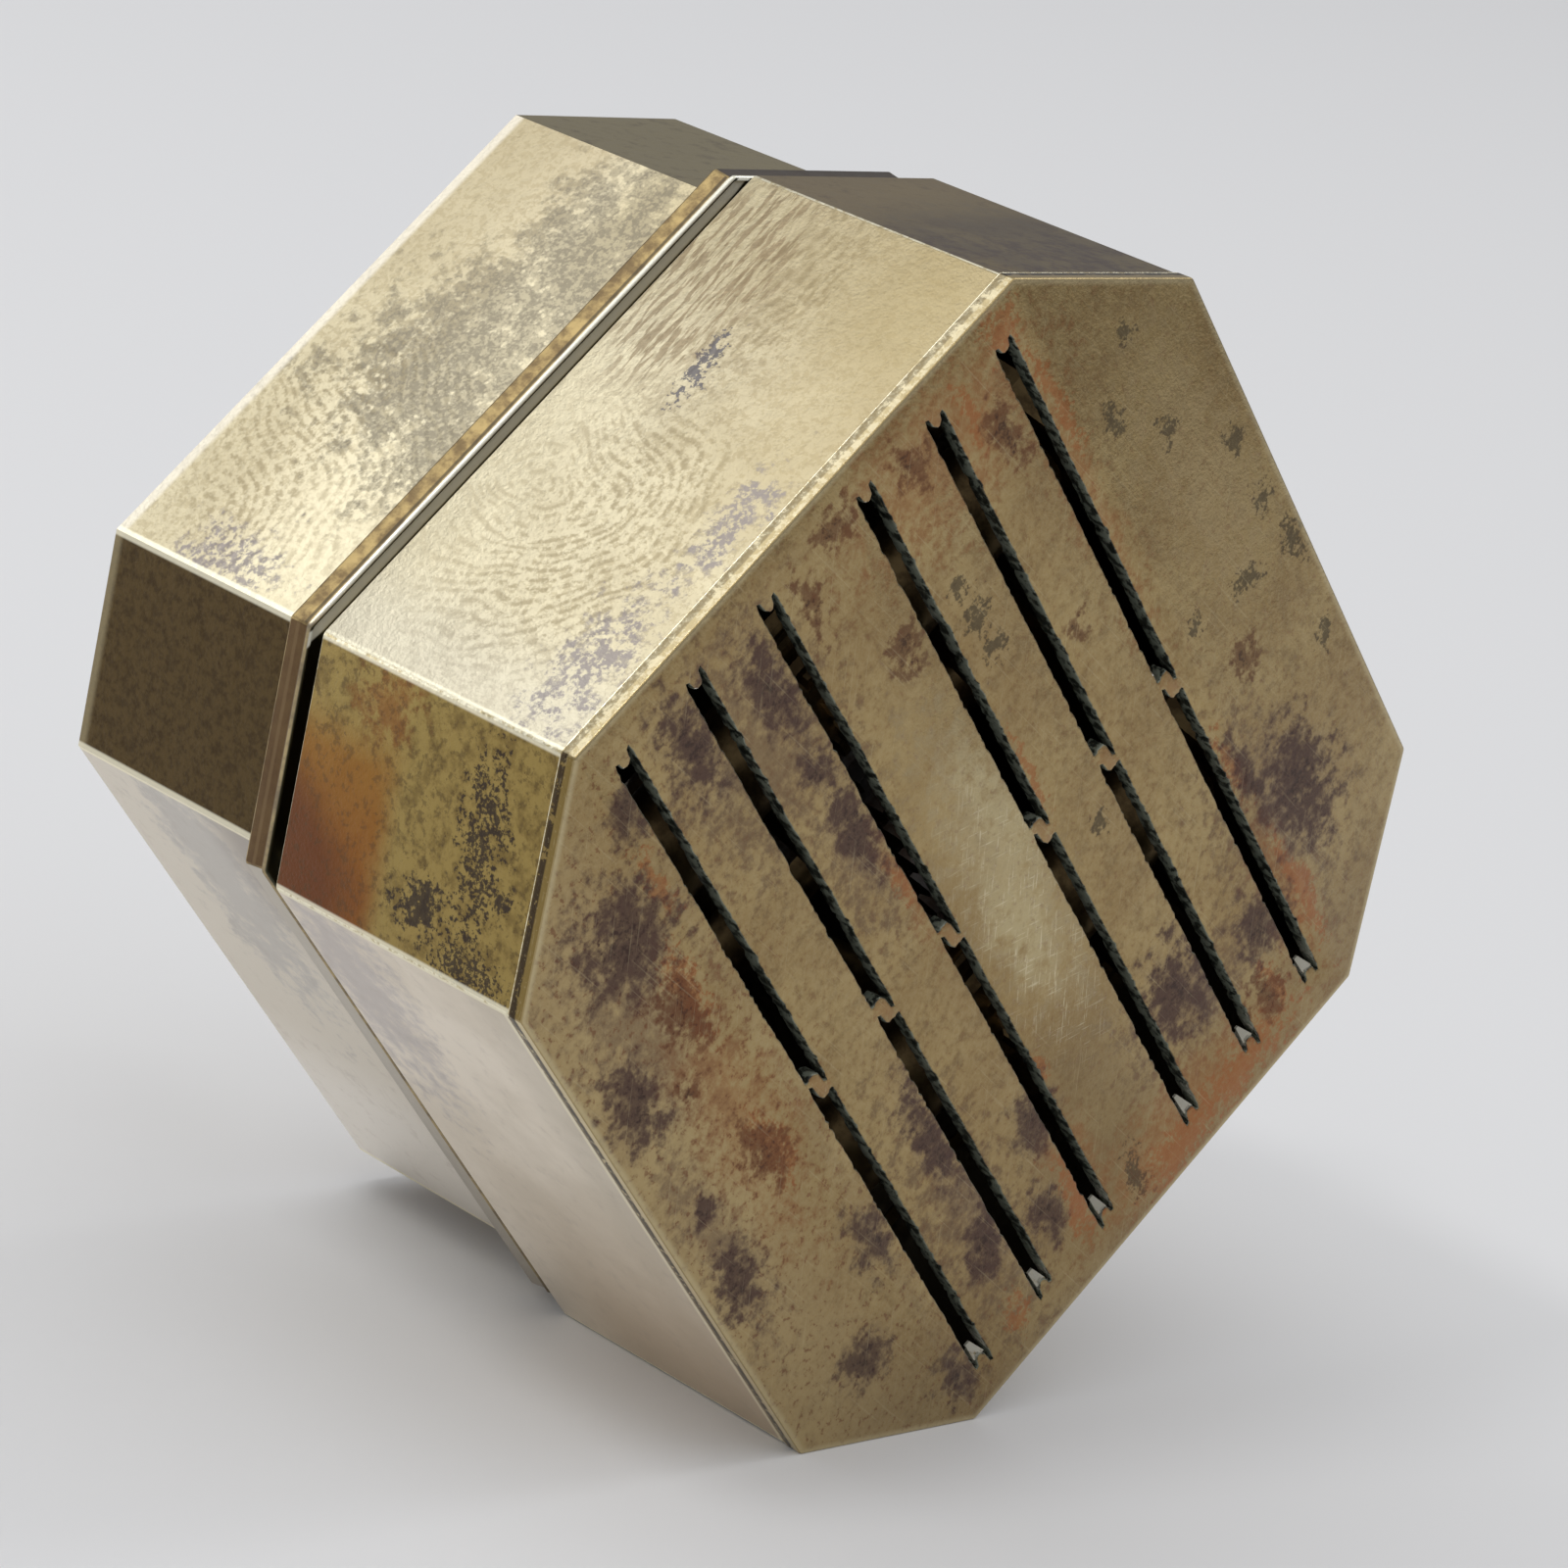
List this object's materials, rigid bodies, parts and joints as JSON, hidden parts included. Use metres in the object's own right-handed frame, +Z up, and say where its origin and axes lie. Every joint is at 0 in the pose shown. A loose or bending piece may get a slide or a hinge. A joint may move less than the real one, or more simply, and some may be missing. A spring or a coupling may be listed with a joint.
{
  "type": "scarificator",
  "caption": "Octagonal brass spring scarificator: a deep cover with a slotted sole slides over a case of lancet blades, cocked by a lever and fired by a side button.",
  "frame": {"origin": "middle of the cover's corner facet that the box stands on, which lies in the floor plane", "axes": "+Z up; -Y is the way the slotted sole faces; +Y is the way the top plate and the lever face; X runs across the standing box"},
  "size_m": [0.047, 0.0398, 0.047],
  "materials": {
    "sole_brass": "aged, olive-tan, with purple-brown tarnish and copper-red corrosion by the slots",
    "cover_brass": "worn bright, pale gold, with grey tarnish and etched finger marks",
    "dark_brass": "dull brown brass",
    "inner_brass": "dull, unpolished",
    "turned_brass": "turned and handled, darker in the corners",
    "blue_steel": "blued spring steel",
    "dark_steel": "dark oiled steel",
    "bright_steel": "polished steel"
  },
  "bodies": {
    "cover": {"sole_plate": "sole_brass", "cover_wall": "cover_brass", "depth_post": "inner_brass"},
    "case": {"upper_case": "cover_brass", "collar_band": "dark_brass", "top_plate": "dark_brass", "frame_plate_front": "inner_brass", "frame_plate_back": "inner_brass", "frame_screws": "dark_steel", "frame_pillars": "inner_brass", "lever_pivot": "bright_steel", "pivot_spacers": "inner_brass", "mainspring": "blue_steel", "mainspring_screw": "dark_steel", "catch_bracket": "inner_brass", "catch_pin": "bright_steel", "catch_spring": "blue_steel", "catch_spring_screw": "dark_steel", "button_bush": "turned_brass", "button_spring": "blue_steel"},
    "lever": {"cocking_lever": "dark_steel", "lever_knob": "turned_brass", "knob_rivet": "turned_brass"},
    "arbor_a_set": {"arbor_a": "bright_steel", "pinion_a": "inner_brass", "spacers_a": "inner_brass", "blade_a1": "bright_steel", "blade_a2": "bright_steel", "blade_a3": "bright_steel", "blade_a4": "bright_steel", "blade_a5": "bright_steel", "blade_a6": "bright_steel"},
    "arbor_b_set": {"arbor_b": "bright_steel", "pinion_b": "inner_brass", "spacers_b": "inner_brass", "blade_b1": "bright_steel", "blade_b2": "bright_steel", "blade_b3": "bright_steel", "blade_b4": "bright_steel", "blade_b5": "bright_steel", "blade_b6": "bright_steel"},
    "catch_lever": {"catch": "dark_steel"},
    "button": {"release_button": "turned_brass", "button_collar": "inner_brass"},
    "screw": {"depth_screw": "turned_brass", "screw_retainer": "inner_brass"}
  },
  "joints": [
    {"name": "depth_slide", "type": "slide", "parent": "cover", "child": "case", "axis": [0, 1, 0], "range_m": [-0.0011, 0.0034]},
    {"name": "screw_turn", "type": "hinge", "parent": "case", "child": "screw", "pos_m": [0.01075, 0.01277, 0.01276], "axis": [0, 1, 0], "range_deg": [-500, 1540]},
    {"name": "lever_cock", "type": "hinge", "parent": "case", "child": "lever", "pos_m": [0.00028, 0.00802, 0.02323], "axis": [0.7071, 0, 0.7071], "range_deg": [0, 44], "stiffness_Nm_per_rad": 0.02, "springref_deg": -28.65, "deforming": ["mainspring"]},
    {"name": "arbor_a_turn", "type": "hinge", "parent": "case", "child": "arbor_a_set", "pos_m": [-0.00643, -0.00193, 0.02995], "axis": [0.7071, 0, 0.7071], "range_deg": [-199, 1]},
    {"name": "arbor_b_turn", "type": "hinge", "parent": "case", "child": "arbor_b_set", "pos_m": [0.007, -0.00193, 0.01651], "axis": [0.7071, 0, 0.7071], "range_deg": [-199, 1]},
    {"name": "release_press", "type": "slide", "parent": "case", "child": "button", "axis": [-0.7071, 0, -0.7071], "range_m": [0, 0.0012], "stiffness_N_per_m": 200, "springref_m": -0.001, "deforming": ["button_spring"]},
    {"name": "catch_lift", "type": "hinge", "parent": "case", "child": "catch_lever", "pos_m": [0.01138, 0.01678, 0.02556], "axis": [0.7071, 0, -0.7071], "range_deg": [0, 14.5], "deforming": ["catch_spring"]}
  ],
  "couplings": [
    {"joint": "screw_turn", "follows": "depth_slide", "rad_per_m": 7854},
    {"joint": "arbor_a_turn", "follows": "lever_cock", "ratio": -4.5},
    {"joint": "arbor_b_turn", "follows": "lever_cock", "ratio": -4.5},
    {"joint": "catch_lift", "follows": "release_press", "rad_per_m": 203.62}
  ]
}
